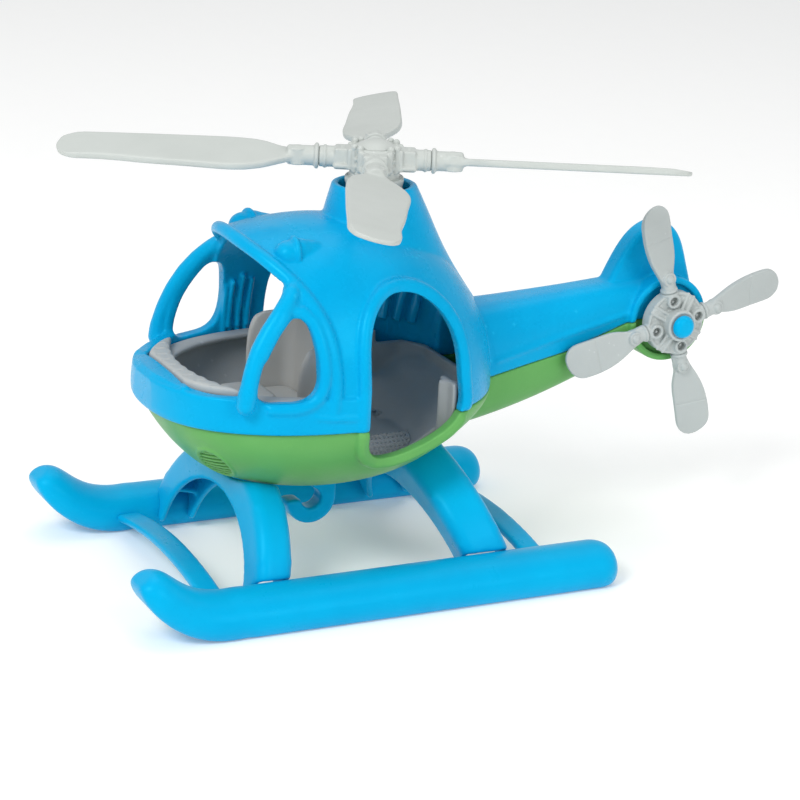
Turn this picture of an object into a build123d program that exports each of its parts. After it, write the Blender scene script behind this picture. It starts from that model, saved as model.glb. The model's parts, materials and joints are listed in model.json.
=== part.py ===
from build123d import *
import os
from math import cos, sin, radians, pi

# Toy helicopter. Millimetres. Nose towards -Y, the helicopter's left side towards +X, up +Z,
# skid soles on z = 0 once exported. The build frame has the main rotor axis on x = y = 0 and the
# soles at z = -FRAME_SHIFT_Z; every exported sub-part is moved by FRAME_SHIFT_Y and FRAME_SHIFT_Z,
# which puts the middle of the underside of the finished bounding box on the origin.
FRAME_SHIFT_Y = -28.27
FRAME_SHIFT_Z = 2.0

# ---- cabin envelope ----
CABIN_HALF_WIDTH = 48.0
CABIN_WIDEST_Y = -14.0
CABIN_NOSE_LENGTH = 69.3
CABIN_TAIL_LENGTH = 57.0
CABIN_WIDEST_Z = 64.0
CABIN_PLAN_POWER = 2.3
CABIN_SECTION_POWER = 2.2
CABIN_BELLY_POWER = 2.0
# (y, roof z, belly z)
CABIN_PROFILE = [
    (-82.9, 77.0, 63.5), (-81.4, 83.0, 61.5), (-78.5, 91.5, 56.8), (-74.7, 99.5, 50.8),
    (-69.0, 107.8, 44.2), (-61.5, 115.6, 38.4), (-52.0, 121.0, 34.4), (-40.6, 123.6, 31.6),
    (-27.3, 124.8, 30.0), (-14.0, 124.3, 30.2), (0.0, 121.5, 32.8), (12.0, 117.5, 38.2),
    (22.0, 111.5, 44.8), (31.0, 102.0, 52.0), (38.0, 91.5, 58.0), (42.0, 80.0, 61.5),
]
WALL = 2.6
# blue/green parting line seen from the side: (y, z)
SEAM_LINE = [
    (-96.0, 61.5), (-20.0, 61.5), (22.0, 63.5), (42.0, 64.5), (75.0, 70.0), (104.0, 79.0), (150.0, 79.0),
]

# ---- rotor tower on the roof: (z, centre y, half width, half length) ----
TOWER_PROFILE = [
    (92.0, 7.0, 25.0, 33.0), (100.0, 5.2, 23.2, 29.0), (109.0, 3.5, 20.8, 24.8),
    (117.0, 2.3, 18.8, 21.6), (125.0, 1.2, 16.6, 18.8), (131.0, 0.5, 15.4, 16.4), (135.0, 0.0, 14.4, 14.8),
]
TOWER_TOP_Z = 135.0
TOWER_MOUTH_R = 12.4
TOWER_MOUTH_DEPTH = 8.0
BEARING_R = 10.35
BEARING_BOTTOM_Z = 117.0

# ---- tail boom: (y, half width, top z, bottom z) ----
BOOM_PROFILE = [
    (24.0, 17.5, 90.0, 44.0), (45.0, 15.2, 89.0, 47.0), (65.0, 12.8, 90.3, 51.8),
    (85.0, 11.0, 91.8, 58.5), (104.0, 9.6, 93.4, 65.5), (120.0, 8.6, 93.0, 69.0),
]
BOOM_POWER = 3.2
TAIL_Y = 117.5
TAIL_Z = 79.0
TAIL_BOSS_R = 16.0
TAIL_BOSS_HALF = 9.5
TAIL_RING_FACE_X = 12.0
# fin outline seen from the side: (y, z)
FIN_OUTLINE = [
    (92.0, 86.0), (96.0, 93.5), (101.0, 103.0), (106.5, 110.0), (113.0, 113.6), (119.5, 113.2),
    (124.5, 108.5), (128.0, 100.0), (130.8, 91.0), (132.0, 84.0), (118.0, 80.0),
]
FIN_HALF = 4.6

# ---- openings: (y, z) corners seen from the side ----
WINDOW_OUTLINE = [
    (-58.6, 75.5), (-57.9, 80.5), (-56.3, 86.0), (-53.0, 92.4), (-49.3, 97.5), (-46.0, 100.3),
    (-43.0, 100.2), (-40.8, 97.9), (-39.3, 92.6), (-38.4, 85.7), (-38.8, 79.8), (-40.6, 75.6),
    (-44.5, 73.2), (-51.0, 72.6), (-56.5, 73.0),
]
DOOR_OUTLINE = [
    (-20.6, 72.0), (-20.4, 85.0), (-19.3, 93.9), (-17.0, 99.4), (-13.7, 103.2), (-9.7, 105.4),
    (-4.6, 105.8), (0.9, 104.5), (5.7, 101.7), (10.2, 97.2), (13.3, 91.9), (14.9, 86.7),
    (15.6, 80.5), (16.0, 74.0), (16.6, 66.0), (13.0, 60.2), (6.0, 55.8), (-2.0, 52.4),
    (-10.0, 50.2), (-16.0, 50.6), (-19.6, 54.0), (-20.6, 60.0),
]
# windshield outline seen from the front: (x, z), right half, top to bottom
WINDSHIELD_HALF = [
    (0.0, 119.2), (11.3, 118.0), (18.4, 116.0), (22.7, 114.0), (27.0, 111.4), (30.6, 108.6),
    (33.0, 105.0), (34.6, 100.5), (35.7, 94.0), (36.4, 88.0), (36.9, 81.0), (36.6, 75.4),
    (32.0, 73.6), (16.0, 74.6), (0.0, 75.2),
]

# round strut in front of each side window, from the nose rim up into the canopy arch: (x, y, z)
STRUT_PATH = [
    (41.0, -63.2, 72.5), (41.1, -62.2, 79.2), (39.2, -58.2, 90.6), (37.0, -50.1, 101.8), (32.8, -44.0, 108.0),
]
STRUT_R = 2.5

# ---- landing gear ----
SOLE_Z = -FRAME_SHIFT_Z
SKID_X = 53.0
SKID_HALF_WIDTH = 11.0
SKID_HEIGHT = 14.5
# legs are elliptical arches leaning in the side view, centred on the soles
LEG_HALF_WIDTH = 51.5
LEG_INNER = (38.0, 30.4)
LEG_SKIN = 2.4
FRONT_LEG = {"foot_y": -56.0, "depth": 13.5, "lean": 12.4, "height": 45.5}
REAR_LEG = {"foot_y": 33.0, "depth": 17.0, "lean": -22.0, "height": 48.5}
STRAP_WIDTH = 8.6
STRAP_THICK = 3.0
STRAP_CROWN_Z = 12.8
FRONT_STRAP_Y = -73.0
REAR_STRAP_Y = 50.7
HOOK_CENTRE = (-20.5, 21.6)
HOOK_OUTER_R = 9.5
HOOK_INNER_R = 3.8
HOOK_THICK = 8.0

# ---- cabin fittings ----
FLOOR_Z = 45.5
TUB_GAP = 0.5
TUB_WALL = 2.2
TUB_RIM_Z = 72.0
TUB_REAR_Y = 35.0
TUB_REAR_TOP = 67.0
SEAT_HALF = 25.0
SEAT_TOP = 88.0
# seat wing outline seen from the side: (y, z)
SEAT_SIDE = [
    (-42.0, 44.0), (-39.6, 62.0), (-35.6, 79.0), (-33.4, 83.4),
    (-29.0, 86.0), (-22.0, 88.5), (-12.0, 88.5), (-12.0, 44.0),
]

# ---- main rotor ----
ROTOR_Z = 143.6
ROTOR_PHASE = -115.4
# the rounded edge of each main blade is its lower edge
BLADE_PITCH = -13.0
JOURNAL_R = 10.30
ARM_END_R = 19.5

# ---- tail rotor ----
TAIL_ROTOR_X = 15.8
TAIL_PHASE = -15.0
TAIL_PITCH = 12.0
TAIL_HUB_R = 11.8
TAIL_EYE_REACH = 9.0
TAIL_ARM_END = 12.2
TAIL_BOSS_REACH = 17.6
AXLE_HEAD_BASE = 6.0
AXLE_R = 3.0
AXLE_BORE_R = 3.06


def superellipse(y, half_w, top, bottom, middle, power, low_power, count=24):
    """Closed section in the plane y = const, with one power above the middle and one below."""
    pts = []
    for i in range(count):
        a = 2 * pi * i / count
        c, s = cos(a), sin(a)
        bend = 2 / (power if s >= 0 else low_power)
        x = half_w * abs(c) ** bend * (1 if c >= 0 else -1)
        reach = (top - middle) if s >= 0 else (middle - bottom)
        pts.append((x, y, middle + reach * abs(s) ** bend * (1 if s >= 0 else -1)))
    return make_face(Spline(*pts, periodic=True))


def cabin_half_width(y):
    reach = CABIN_NOSE_LENGTH if y < CABIN_WIDEST_Y else CABIN_TAIL_LENGTH
    u = abs(y - CABIN_WIDEST_Y) / reach
    return CABIN_HALF_WIDTH * max(1 - u ** CABIN_PLAN_POWER, 0.0) ** (1 / CABIN_PLAN_POWER)


def cabin_body(inset):
    """Bubble cabin, shrunk by inset on every side (grown when inset is negative)."""
    wires = []
    for y, top, bottom in CABIN_PROFILE:
        half = cabin_half_width(y) - inset
        if half < 2.0 or CABIN_WIDEST_Z - bottom < inset + 0.5:
            continue
        reach = CABIN_NOSE_LENGTH if y < CABIN_WIDEST_Y else CABIN_TAIL_LENGTH
        place = y - inset * (y - CABIN_WIDEST_Y) / reach
        section = superellipse(
            place, half, top - inset, bottom + inset, CABIN_WIDEST_Z, CABIN_SECTION_POWER, CABIN_BELLY_POWER
        )
        wires.append(section)
    return loft(wires)


def ellipse_wire(z, y, half_x, half_y):
    return Plane((0, y, z), x_dir=(0, 1, 0), z_dir=(0, 0, 1)) * Ellipse(half_y, half_x)


def tower_body(inset):
    return loft([ellipse_wire(z, y, hx - inset, hy - inset) for z, y, hx, hy in TOWER_PROFILE])


def boom_body(inset):
    wires = []
    for y, half, top, bottom in BOOM_PROFILE:
        middle = bottom + 0.45 * (top - bottom)
        wires.append(superellipse(y, half - inset, top - inset, bottom + inset, middle, BOOM_POWER, BOOM_POWER))
    return loft(wires)


def side_prism(outline, x0, x1, smooth=True):
    """Outline given as (y, z), pushed along X from x0 to x1."""
    pts = [(x0, y, z) for y, z in outline]
    edge = Spline(*pts, periodic=True) if smooth else Polyline(*pts, close=True)
    face = make_face(edge)
    return extrude(face, amount=abs(x1 - x0), dir=(1 if x1 > x0 else -1, 0, 0))


def front_prism(outline, y0, y1):
    """Outline given as (x, z), pushed along Y from y0 to y1."""
    pts = [(x, y0, z) for x, z in outline]
    return extrude(make_face(Spline(*pts, periodic=True)), amount=y1 - y0, dir=(0, 1, 0))


def cylinder(p0, axis, radius, length):
    """Cylinder from p0 along axis."""
    plane = Plane(p0, z_dir=axis)
    return extrude(plane * Circle(radius), amount=length)


def slab(x0, x1, y0, y1, z0, z1):
    return Pos((x0 + x1) / 2, (y0 + y1) / 2, (z0 + z1) / 2) * Box(x1 - x0, y1 - y0, z1 - z0)


def mirrored(shape):
    return shape.mirror(Plane.YZ)


def both_sides(shape):
    return shape + mirrored(shape)


def grown(outline, amount):
    """Outline moved outwards from its own middle by a fixed distance."""
    n = len(outline)
    out = []
    for i in range(n):
        (y0, z0), (y, z), (y1, z1) = outline[i - 1], outline[i], outline[(i + 1) % n]
        ty, tz = y1 - y0, z1 - z0
        length = (ty * ty + tz * tz) ** 0.5
        out.append((y, z, -tz / length * amount, ty / length * amount))
    area = sum(outline[i - 1][0] * outline[i][1] - outline[i][0] * outline[i - 1][1] for i in range(n))
    sign = -1 if area > 0 else 1
    return [(y + sign * dy, z + sign * dz) for y, z, dy, dz in out]


# ---------------------------------------------------------------- airframe shells
cabin_outer = cabin_body(0.0)
cabin_inner = cabin_body(WALL)
boom_outer = boom_body(0.0)
boom_inner = boom_body(2.2)
tower_outer = tower_body(0.0)
tower_inner = tower_body(WALL) - slab(-30, 30, -40, 50, 128.0, 140.0)
fin = side_prism(FIN_OUTLINE, -FIN_HALF, FIN_HALF)
fin = fillet(fin.edges().filter_by(lambda e: e.length > 60), 2.0)
boss = cylinder((-TAIL_BOSS_HALF, TAIL_Y, TAIL_Z), (1, 0, 0), TAIL_BOSS_R, 2 * TAIL_BOSS_HALF)
boss = fillet(boss.edges(), 2.0)
ring_depth = TAIL_RING_FACE_X - TAIL_BOSS_HALF
ring = cylinder((TAIL_BOSS_HALF - 3, TAIL_Y, TAIL_Z), (1, 0, 0), TAIL_BOSS_R, ring_depth + 3)
ring = ring - cylinder((TAIL_BOSS_HALF, TAIL_Y, TAIL_Z), (1, 0, 0), TAIL_BOSS_R - 2.6, 10)

hull_outer = cabin_outer + tower_outer + boom_outer + fin + boss + ring
hull_cavity = cabin_inner + tower_inner + boom_inner

below_seam = side_prism([*SEAM_LINE, (150.0, -20.0), (-96.0, -20.0)], -80, 80, smooth=False)

door_hole = side_prism(DOOR_OUTLINE, 20, 60)
window_hole = side_prism(WINDOW_OUTLINE, 20, 60)
side_holes = both_sides(door_hole + window_hole)
windshield_left = [(-x, z) for x, z in reversed(WINDSHIELD_HALF[1:-1])]
windshield_hole = front_prism([*WINDSHIELD_HALF, *windshield_left], -95.0, -45.0)

# raised beads round the door and window openings: a thin skin just outside the cabin wall
bead_skin = cabin_body(-1.3) - cabin_body(WALL)
door_bead = bead_skin & side_prism(grown(DOOR_OUTLINE, 4.2), 22, 60)
window_bead = bead_skin & side_prism(grown(WINDOW_OUTLINE, 3.0), 22, 60)
beads = both_sides(door_bead + window_bead)
rim_band = (cabin_body(-1.2) - cabin_body(4.2)) & slab(-60, 60, -90, -24, 61.5, 73.6)

# canopy arch: a rounded rib over the roof, down behind the window on each side
ARCH_PATH = [
    (0.0, -54.0, 120.6), (13.0, -52.2, 118.9), (23.0, -47.6, 114.9), (30.4, -42.4, 109.4),
    (36.2, -37.8, 102.8), (40.4, -34.6, 95.4), (43.4, -32.8, 86.6), (45.4, -32.6, 77.0), (46.0, -33.4, 69.0),
]
arch_full = [(-x, y, z) for x, y, z in reversed(ARCH_PATH[1:])] + ARCH_PATH
arch_edge = Spline(*arch_full)
arch_section = Plane(arch_edge @ 0, z_dir=arch_edge % 0) * Circle(2.6)
canopy_arch = sweep(arch_section, path=arch_edge) - cabin_body(WALL)

# teardrop lamps on the roof
lamp = Pos(19.5, -37.0, 118.4) * Rot(0, 24, 0) * scale(Sphere(4.2), (1.0, 1.25, 1.0))
lamp_tail = Solid.make_cone(4.0, 1.2, 11.0, plane=Plane((19.3, -36.0, 118.4), z_dir=(0, 1, 0.02)))
lamps = both_sides((lamp + lamp_tail) - cabin_body(WALL))

shell = hull_outer + beads + rim_band + canopy_arch + lamps
shell = shell - hull_cavity - side_holes - windshield_hole
strut_edge = Spline(*STRUT_PATH)
strut = sweep(Plane(strut_edge @ 0, z_dir=strut_edge % 0) * Circle(STRUT_R), path=strut_edge)
shell = shell + both_sides(strut)

# rotor bearing inside the tower, joined to the tower wall
bearing = cylinder((0, 0, BEARING_BOTTOM_Z), (0, 0, 1), 14.6, 12.0) & tower_outer
upper_shell = shell - below_seam + bearing
upper_shell = upper_shell - cylinder((0, 0, TOWER_TOP_Z - TOWER_MOUTH_DEPTH), (0, 0, 1), TOWER_MOUTH_R, 20)
upper_shell = upper_shell - cylinder((0, 0, BEARING_BOTTOM_Z - 2), (0, 0, 1), BEARING_R, 30)

# stiffening ribs on the inside of the wall: three between window and door, three behind the door
# (y, bottom z, top z)
RIBS = [
    (-35.4, 73.0, 92.0), (-31.6, 73.0, 94.0), (-27.8, 73.0, 92.0),
    (22.6, 74.0, 99.0), (26.4, 74.0, 97.0), (30.2, 74.0, 93.0),
]
ribs = None
for rib_y, rib_bottom, rib_top in RIBS:
    bar = slab(20, 60, rib_y - 0.9, rib_y + 0.9, rib_bottom, rib_top)
    bar = (cabin_body(WALL - 0.2) - cabin_body(WALL + 2.0)) & bar
    ribs = bar if ribs is None else ribs + bar
upper_shell = upper_shell + both_sides(ribs)

lower_shell = shell & below_seam
# slatted oval vent on each side of the bow
vent_plane = Plane((24.2, -66.5, 48.2), x_dir=(-0.42, 0.80, -0.42), z_dir=(0.62, -0.50, -0.60))
vent_cutter = extrude(vent_plane * Ellipse(10.0, 4.6), amount=6, both=True)
vent_slats = None
for k in range(-3, 4):
    slat = extrude(vent_plane * Pos(2.5 * k, 0) * Rectangle(1.1, 12), amount=6, both=True)
    vent_slats = slat if vent_slats is None else vent_slats + slat
vent_recess = (cabin_body(-0.5) - cabin_body(1.2)) & (vent_cutter - vent_slats)
lower_shell = lower_shell - both_sides(vent_recess)

# axle seat in the tail boss
axle_hole = cylinder((-6.0, TAIL_Y, TAIL_Z), (1, 0, 0), AXLE_R, 40)
upper_shell = upper_shell - axle_hole
lower_shell = lower_shell - axle_hole


# ---------------------------------------------------------------- cabin fittings
tub_outside = cabin_body(WALL + TUB_GAP)
tub_inside = cabin_body(WALL + TUB_GAP + TUB_WALL)
tub_block = tub_outside & slab(-60, 60, -95, 17.5, FLOOR_Z - 2.5, TUB_RIM_Z)
tub_room = tub_inside & slab(-60, 60, -95, 15.3, FLOOR_Z, TUB_RIM_Z - 2.2)
tub_mouth = cabin_body(9.0) & slab(-60, 60, -95, 40, FLOOR_Z, TUB_RIM_Z + 5)
tub_alcove = tub_outside & slab(-30, 30, 15.0, TUB_REAR_Y, FLOOR_Z - 2.5, TUB_REAR_TOP)
cabin_tub = tub_block + tub_alcove - tub_room
cabin_tub = cabin_tub - (tub_mouth & slab(-60, 60, -95, 15.3, FLOOR_Z, 90))
cabin_tub = cabin_tub - (tub_inside & slab(-27.8, 27.8, 14.0, TUB_REAR_Y - 2.2, FLOOR_Z, 90))
cabin_tub = cabin_tub - both_sides(slab(27.0, 60, -20.6, 15.3, FLOOR_Z, 90))
for slot_y in (10.4, 24.0):
    cabin_tub = cabin_tub - slab(-20, -6, slot_y - 1.3, slot_y + 1.3, 40, 50)
# raised tread bars on the floor just inside each door
for row in range(7):
    bar_y = -9.0 + 3.8 * row
    tread_bar = slab(12.0, 33.0, bar_y - 0.6, bar_y + 0.6, FLOOR_Z - 0.5, FLOOR_Z + 0.5)
    cabin_tub = cabin_tub + both_sides(tread_bar & tub_outside)

seat_ring = RectangleRounded(2 * SEAT_HALF, 23.0, 7.0) - RectangleRounded(2 * SEAT_HALF - 6.4, 16.6, 4.5)
seat_ring = Pos(0, -27.5, 0) * seat_ring
seat_back = extrude(seat_ring, amount=SEAT_TOP - FLOOR_Z)
seat_back = Pos(0, 0, FLOOR_Z) * seat_back
seat_back = seat_back & side_prism(SEAT_SIDE, -40, 40, smooth=False)
seat_back = seat_back - slab(-SEAT_HALF + 3.2, SEAT_HALF - 3.2, -45, -30, FLOOR_Z - 1, 100)
crown_plane = Plane((0, -60, 60), x_dir=(1, 0, 0), z_dir=(0, 1, 0))
seat_crown = extrude(crown_plane * RectangleRounded(2 * SEAT_HALF, 56.0, 8.0), amount=60)
seat_back = seat_back & seat_crown
seat_base = slab(-SEAT_HALF + 3.3, SEAT_HALF - 3.3, -38.0, -20.0, FLOOR_Z, 57.0)
seat_base = fillet(seat_base.edges().filter_by(Axis.Z).sort_by(Axis.Y)[-2:], 5.2)
seat_pommel = slab(-10.6, 10.6, -53.5, -37.0, FLOOR_Z, 64.0)
seat_pommel = fillet(seat_pommel.edges().filter_by(Axis.Z), 3.0)
seat_pommel = fillet(seat_pommel.faces().sort_by(Axis.Z)[-1].edges(), 2.0)
seat_cushion = seat_base + seat_pommel

# curved instrument panel along the front of the tub
panel_front = ThreePointArc((-36.0, -64.6, 72.0), (0, -78.6, 72.0), (36.0, -64.6, 72.0))
panel_back = ThreePointArc((33.0, -60.6, 72.0), (0, -69.4, 72.0), (-33.0, -60.6, 72.0))
panel_ends = Line(panel_front @ 1, panel_back @ 0) + Line(panel_back @ 1, panel_front @ 0)
instrument_panel = extrude(make_face(panel_front + panel_back + panel_ends), amount=3.6)
instrument_panel = instrument_panel & cabin_body(WALL + TUB_GAP)
for k in range(-4, 5):
    across = 6.2 * k
    notch_place = Pos(across, -68.4 + across * across * 0.0072, 75.6) * Rot(0, 0, across * 0.75)
    instrument_panel = instrument_panel - notch_place * Box(3.0, 3.4, 2.0)


# ---------------------------------------------------------------- landing gear
# (y, z of the sole, tilt of the section in degrees, size)
SKID_NOSE = [
    (-66.0, 0.0, 0, 1.0), (-73.0, 0.0, 0, 1.0), (-80.0, 0.6, 8, 1.0),
    (-87.3, 2.6, 19, 0.98), (-94.0, 6.0, 31, 0.95), (-100.4, 11.0, 43, 0.90),
    (-104.9, 15.8, 52, 0.80), (-107.4, 18.8, 56, 0.62), (-108.4, 20.0, 57, 0.38),
]
SKID_HEEL = [
    (68.0, 0.0, 0, 1.0), (70.4, 0.0, 0, 0.95), (72.6, 0.0, 0, 0.84), (74.2, 0.0, 0, 0.64), (75.0, 0.0, 0, 0.36),
]


def skid_section(y, z, tilt, size):
    """D-shaped section: flat sole, domed top."""
    a = radians(tilt)
    plane = Plane((0, y, z), x_dir=(1, 0, 0), z_dir=(0, -cos(a), sin(a)))
    lift = 6.0 * (1 - size)
    dome = Pos(0, lift + 5.5 * size) * Ellipse(SKID_HALF_WIDTH * size, (SKID_HEIGHT - 5.5) * size)
    return plane * (dome & Pos(0, lift + 15) * Rectangle(60, 30))


def skid():
    """Skid on x = 0 with an upturned rounded front end and a rounded rear end."""
    length = SKID_HEEL[0][0] - SKID_NOSE[0][0]
    bar = extrude(skid_section(*SKID_HEEL[0]), amount=length, dir=(0, -1, 0))
    nose = loft([skid_section(*station) for station in SKID_NOSE])
    heel = loft([skid_section(*station) for station in SKID_HEEL])
    return (bar + nose + heel) & slab(-30, 30, -130, 90, 0.0, 60.0)


left_skid = Pos(SKID_X, 0, SOLE_Z) * skid()
right_skid = Pos(-SKID_X, 0, SOLE_Z) * skid()
belly_clear = cabin_body(-0.15)
sill_clear = cabin_body(-1.5) - slab(-70, 70, -90, 50, -5, 44)


def arch(outer, inner, depth):
    """Half-ellipse arch standing in the plane y = 0, its depth centred on that plane."""
    plane = Plane((0, -depth / 2, 0), x_dir=(1, 0, 0), z_dir=(0, 1, 0))
    body = extrude(plane * (Ellipse(*outer) - Ellipse(*inner)), amount=depth)
    return body


def leg_arch(spec):
    """Leg pair: rounded outer skin, flat webs front and back, open channel with ribs inside."""
    depth = spec["depth"]
    half_x, height = LEG_HALF_WIDTH, spec["height"]
    body = arch((half_x, height), LEG_INNER, depth)
    body = fillet(body.edges().sort_by(SortBy.LENGTH)[-2:], 4.2)
    hollow = arch((half_x - LEG_SKIN, height - LEG_SKIN), (20, 15), depth - 2 * LEG_SKIN)
    ribs = None
    for a in (24, 48, 72, 108, 132, 156):
        rib = Rot(0, -a, 0) * Pos(45, 0, 0) * Box(40, depth - 1.0, 2.0)
        ribs = rib if ribs is None else ribs + rib
    rib_outer = (half_x - 1.0, height - 1.0)
    rib_inner = (LEG_INNER[0] + 3.0, LEG_INNER[1] + 3.0)
    ribs = ribs & arch(rib_outer, rib_inner, depth - 1.0)
    body = body - hollow + ribs
    body = Pos(0, spec["foot_y"], SOLE_Z) * Rot(-spec["lean"], 0, 0) * body
    body = body & slab(-70, 70, -120, 120, SOLE_Z + 4.0, 60.0)
    return body - left_skid - right_skid - belly_clear - sill_clear


front_leg_arch = leg_arch(FRONT_LEG)
rear_leg_arch = leg_arch(REAR_LEG)


def strap(y):
    """Low arched strap joining the skids."""
    feet_z = SOLE_Z + 7.0
    crown_z = SOLE_Z + STRAP_CROWN_Z
    top = ThreePointArc((-46, y, feet_z), (0, y, crown_z), (46, y, feet_z))
    under_z = feet_z - STRAP_THICK
    low = ThreePointArc((46, y, under_z), (0, y, crown_z - STRAP_THICK), (-46, y, under_z))
    sides = Line(top @ 1, low @ 0) + Line(low @ 1, top @ 0)
    body = extrude(make_face(top + low + sides), amount=STRAP_WIDTH / 2, dir=(0, 1, 0), both=True)
    return body - left_skid - right_skid


front_strap = strap(FRONT_STRAP_Y)
rear_strap = strap(REAR_STRAP_Y)

hook_y, hook_z = HOOK_CENTRE
hook_plane = Plane((-HOOK_THICK / 2, hook_y, hook_z), x_dir=(0, 1, 0), z_dir=(1, 0, 0))
hook_ring = Circle(HOOK_OUTER_R) - Circle(HOOK_INNER_R) - Pos(-6, 7) * Rectangle(12, 14)
hook_stem = Pos(6.6, 6) * Rectangle(5.8, 12)
cargo_hook = extrude(hook_plane * (hook_ring + hook_stem), amount=HOOK_THICK)
cargo_hook = cargo_hook - belly_clear


# ---------------------------------------------------------------- main rotor
def blade_outline(points):
    """Flat blade lying along +X, built from (reach, leading, trailing) stations."""
    ahead = [(r, lead) for r, lead, trail in points]
    behind = [(r, -trail) for r, lead, trail in reversed(points)]
    return make_face(Spline(*ahead, *behind, periodic=True))


MAIN_BLADE = [
    (23.0, 2.6, 2.6), (30.0, 4.2, 3.8), (37.0, 8.6, 7.2), (46.0, 11.8, 9.6), (60.0, 11.4, 9.8),
    (80.0, 10.0, 9.4), (98.0, 8.6, 8.8), (106.5, 7.6, 7.2), (109.6, 3.4, 3.0),
]
MAIN_BLADE_THICK = 2.6
main_plate = extrude(blade_outline(MAIN_BLADE), amount=MAIN_BLADE_THICK / 2, both=True)
tip_groove = Pos(101.5, 0, MAIN_BLADE_THICK / 2) * Rot(0, 0, 8) * Box(0.7, 30, 0.5)
main_plate = Rot(BLADE_PITCH, 0, 0) * (main_plate - tip_groove)
main_root = cylinder((ARM_END_R, 0, 0), (1, 0, 0), 3.5, 11.0)
main_collar = cylinder((ARM_END_R, 0, 0), (1, 0, 0), 4.3, 1.4)
main_boss = cylinder((27.0, 0, -2.6), (0, 0, 1), 3.6, 5.2)
main_blade_local = main_plate + main_root + main_collar + main_boss


def placed_main(shape, k):
    return Pos(0, 0, ROTOR_Z) * Rot(0, 0, ROTOR_PHASE + 90 * k) * shape


main_blades = [placed_main(main_blade_local, k) for k in range(4)]

hub_core = cylinder((0, 0, 136.6), (0, 0, 1), 8.6, 10.4)
hub_arms = None
for k in range(4):
    block = Pos(10.0, 0, 0) * Box(8.0, 8.4, 7.4)
    lug = cylinder((8.0, -5.6, -1.4), (0, 1, 0), 1.4, 11.2)
    pin = cylinder((8.6, 5.0, -3.4), (0, 0, 1), 1.1, 7.6)
    pin_b = cylinder((8.6, -5.0, -3.4), (0, 0, 1), 1.1, 7.6)
    neck = cylinder((12.0, 0, 0), (1, 0, 0), 3.7, ARM_END_R - 12.0)
    arm = placed_main(block + lug + pin + pin_b + neck, k)
    hub_arms = arm if hub_arms is None else hub_arms + arm
hub_flange = cylinder((0, 0, 146.0), (0, 0, 1), 8.0, 1.4)
# split snap shaft: a tube cut into legs, with a small barb that hooks under the bearing
shaft = cylinder((0, 0, BEARING_BOTTOM_Z - 3.6), (0, 0, 1), JOURNAL_R, 137.5 - BEARING_BOTTOM_Z + 3.6)
barb = Solid.make_cone(JOURNAL_R - 0.6, JOURNAL_R + 1.0, 3.0, plane=Plane((0, 0, BEARING_BOTTOM_Z - 3.6)))
shaft = shaft + barb
shaft = shaft - cylinder((0, 0, BEARING_BOTTOM_Z - 6), (0, 0, 1), JOURNAL_R - 2.2, 142.0 - BEARING_BOTTOM_Z)
for k in range(2):
    shaft = shaft - placed_main(Pos(0, 0, -20.6) * Box(40, 5.0, 24.0), k)
main_rotor_hub = hub_core + hub_arms + hub_flange + shaft
cap_sphere = Pos(0, 0, 147.4 - 8.4) * Sphere(11.4)
main_rotor_cap = cap_sphere & slab(-20, 20, -20, 20, 147.4, 160)

# ---------------------------------------------------------------- tail rotor
TAIL_BLADE = [
    (11.8, 2.2, 2.2), (17.0, 3.2, 2.8), (23.5, 5.8, 4.3), (31.0, 7.6, 5.0), (38.0, 7.8, 5.2),
    (42.6, 6.8, 4.8), (45.4, 3.2, 2.4),
]
TAIL_BLADE_THICK = 2.2
tail_plate = extrude(blade_outline(TAIL_BLADE), amount=TAIL_BLADE_THICK / 2, both=True)
tail_plate = tail_plate & slab(TAIL_ARM_END + 0.4, 60, -30, 30, -5, 5)
for groove_r in (33.0, 39.0):
    tail_plate = tail_plate - Pos(groove_r, 0, TAIL_BLADE_THICK / 2) * Rot(0, 0, 6) * Box(0.5, 20, 0.4)
tail_plate = Rot(TAIL_PITCH, 0, 0) * tail_plate
tail_root = cylinder((TAIL_ARM_END, 0, 0), (1, 0, 0), 2.6, 6.5)
tail_collar = cylinder((TAIL_ARM_END, 0, 0), (1, 0, 0), 3.2, 1.0)
tail_boss = cylinder((TAIL_BOSS_REACH, 0, -2.2), (0, 0, 1), 2.6, 4.4)
tail_blade_local = tail_plate + tail_root + tail_collar + tail_boss


def placed_tail(shape, k):
    """Local +X becomes a spoke in the tail rotor plane, local +Z becomes +X."""
    a = radians(TAIL_PHASE + 90 * k)
    plane = Plane((TAIL_ROTOR_X, TAIL_Y, TAIL_Z), x_dir=(0, sin(a), cos(a)), z_dir=(1, 0, 0))
    return plane.location * shape


tail_blades = [placed_tail(tail_blade_local, k) for k in range(4)]
tail_rotor_hub = cylinder((TAIL_ROTOR_X - 3.4, TAIL_Y, TAIL_Z), (1, 0, 0), TAIL_HUB_R, 4.6)
tail_rotor_hub = tail_rotor_hub + cylinder((TAIL_ROTOR_X, TAIL_Y, TAIL_Z), (1, 0, 0), 5.8, AXLE_HEAD_BASE - 0.4)
for k in range(4):
    spoke = cylinder((7.0, 0, 0), (1, 0, 0), 2.9, TAIL_ARM_END - 7.0)
    eye = cylinder((TAIL_EYE_REACH, 0, -2.6), (0, 0, 1), 2.7, 5.4)
    eye_hole = cylinder((TAIL_EYE_REACH, 0, 1.2), (0, 0, 1), 1.3, 3.0)
    fin_web = Rot(0, 0, 45) * Pos(8.4, 0, 1.2) * Box(6.0, 1.3, 1.6)
    tail_rotor_hub = tail_rotor_hub + placed_tail(spoke + eye + fin_web, k) - placed_tail(eye_hole, k)
tail_rotor_hub = tail_rotor_hub - cylinder((0, TAIL_Y, TAIL_Z), (1, 0, 0), AXLE_BORE_R, 60)
axle_shaft = cylinder((-6.0, TAIL_Y, TAIL_Z), (1, 0, 0), AXLE_R, TAIL_ROTOR_X + AXLE_HEAD_BASE + 6.0)
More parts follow.
